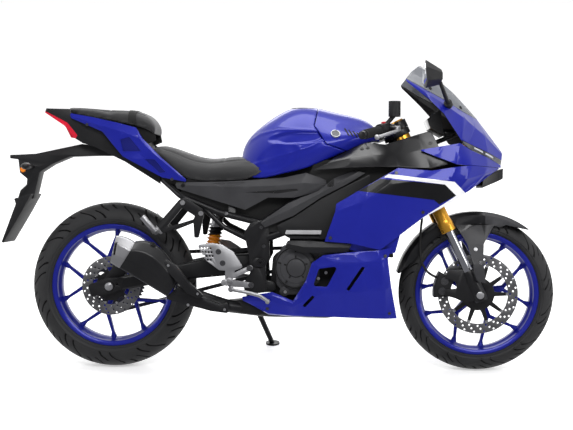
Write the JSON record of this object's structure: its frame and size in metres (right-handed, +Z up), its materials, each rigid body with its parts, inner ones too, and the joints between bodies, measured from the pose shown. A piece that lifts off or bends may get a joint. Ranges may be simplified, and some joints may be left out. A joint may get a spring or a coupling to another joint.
{
  "type": "sport motorcycle",
  "caption": "Fully faired sport motorcycle on its side stand, with steering, spinning wheels, folding stand and fuel lid.",
  "frame": {"origin": "on the floor, under the centre of the whole machine as it leans on its side stand", "axes": "+X forward, +Y to the left of the rider, +Z up from the floor"},
  "size_m": [2.0927, 0.7738, 1.1811],
  "materials": {
    "tyre_rubber": "matte with moulded tread",
    "blue_wheel": "satin",
    "disc_steel": "ground",
    "dark_steel": "satin",
    "gold_anodised": "satin",
    "chrome_tube": "polished",
    "bright_steel": "satin",
    "dark_cast": "satin paint",
    "bright_alloy": "satin",
    "grip_rubber": "matte",
    "hose_rubber": "satin",
    "seat_cover": "grained",
    "smoked_clear": "clear",
    "lamp_lens": "clear over dark",
    "red_lens": "gloss",
    "blue_paint": "metallic gloss",
    "black_plastic": "fine grain",
    "black_steel": "satin",
    "orange_spring": "gloss"
  },
  "bodies": {
    "chassis": {"drive_chain": "dark_steel", "rear_caliper": "dark_cast", "frame": "black_steel", "swingarm": "black_steel", "swingarm_pivot": "bright_steel", "rear_axle": "bright_steel", "engine_block": "dark_cast", "engine_covers": "dark_cast", "airbox": "black_plastic", "inner_panels": "black_plastic", "radiator": "dark_cast", "exhaust_pipe": "black_steel", "silencer": "black_steel", "silencer_end_cap": "bright_alloy", "rear_shock": "orange_spring", "fuel_tank": "blue_paint", "tank_front_cover": "blue_paint", "rider_seat": "seat_cover", "pillion_seat": "seat_cover", "tail_side_panels": "blue_paint", "tail_core": "black_plastic", "tail_lamp": "red_lens", "plate_hanger": "black_plastic", "side_covers": "black_plastic", "frame_covers": "black_plastic", "upper_trim": "black_plastic", "upper_cowl": "blue_paint", "windscreen": "smoked_clear", "nose_mask": "blue_paint", "headlamps": "lamp_lens", "side_fairings": "blue_paint", "side_slats": "black_plastic", "belly_fairing": "blue_paint", "chin_intake": "black_plastic", "dash": "black_plastic", "mirrors": "black_plastic", "foot_brackets": "bright_alloy", "rider_pegs": "bright_alloy", "foot_levers": "bright_alloy", "passenger_brackets": "black_steel"},
    "steering": {"triple_clamps": "black_steel", "fork_outer_tubes": "gold_anodised", "fork_inner_tubes": "chrome_tube", "fork_axle_clamps": "black_steel", "front_axle": "bright_steel", "front_caliper": "dark_cast", "clip_on_bars": "black_steel", "hand_grips": "grip_rubber", "hand_controls": "black_plastic", "front_fender": "black_plastic", "front_brake_hose": "hose_rubber"},
    "front_wheel": {"front_tyre": "tyre_rubber", "front_rim": "blue_wheel", "front_disc": "disc_steel"},
    "rear_wheel": {"rear_tyre": "tyre_rubber", "rear_rim": "blue_wheel", "rear_disc": "disc_steel", "rear_sprocket": "dark_steel"},
    "side_stand": {"side_stand": "black_steel"},
    "fuel_lid": {"fuel_cap": "bright_alloy"}
  },
  "joints": [
    {"name": "steering", "type": "hinge", "parent": "chassis", "child": "steering", "pos_m": [0.7192, -0.12912, 0.2723], "axis": [-0.4385, 0.1706, 0.8824], "range_deg": [-30, 30]},
    {"name": "front_wheel_spin", "type": "hinge", "parent": "steering", "child": "front_wheel", "pos_m": [0.75336, -0.12588, 0.28865], "axis": [-0.0019, 0.9816, -0.1908], "continuous": true},
    {"name": "rear_wheel_spin", "type": "hinge", "parent": "chassis", "child": "rear_wheel", "pos_m": [-0.62665, -0.12455, 0.30952], "axis": [-0.0019, 0.9816, -0.1908], "continuous": true},
    {"name": "side_stand_fold", "type": "hinge", "parent": "chassis", "child": "side_stand", "pos_m": [-0.11493, 0.01573, 0.22938], "axis": [-0.257, 0.9632, -0.0787], "range_deg": [0, 97.34]},
    {"name": "fuel_lid_hinge", "type": "hinge", "parent": "chassis", "child": "fuel_lid", "pos_m": [0.14323, 0.00554, 0.97099], "axis": [-0.0019, 0.9816, -0.1908], "range_deg": [0, 100]}
  ]
}
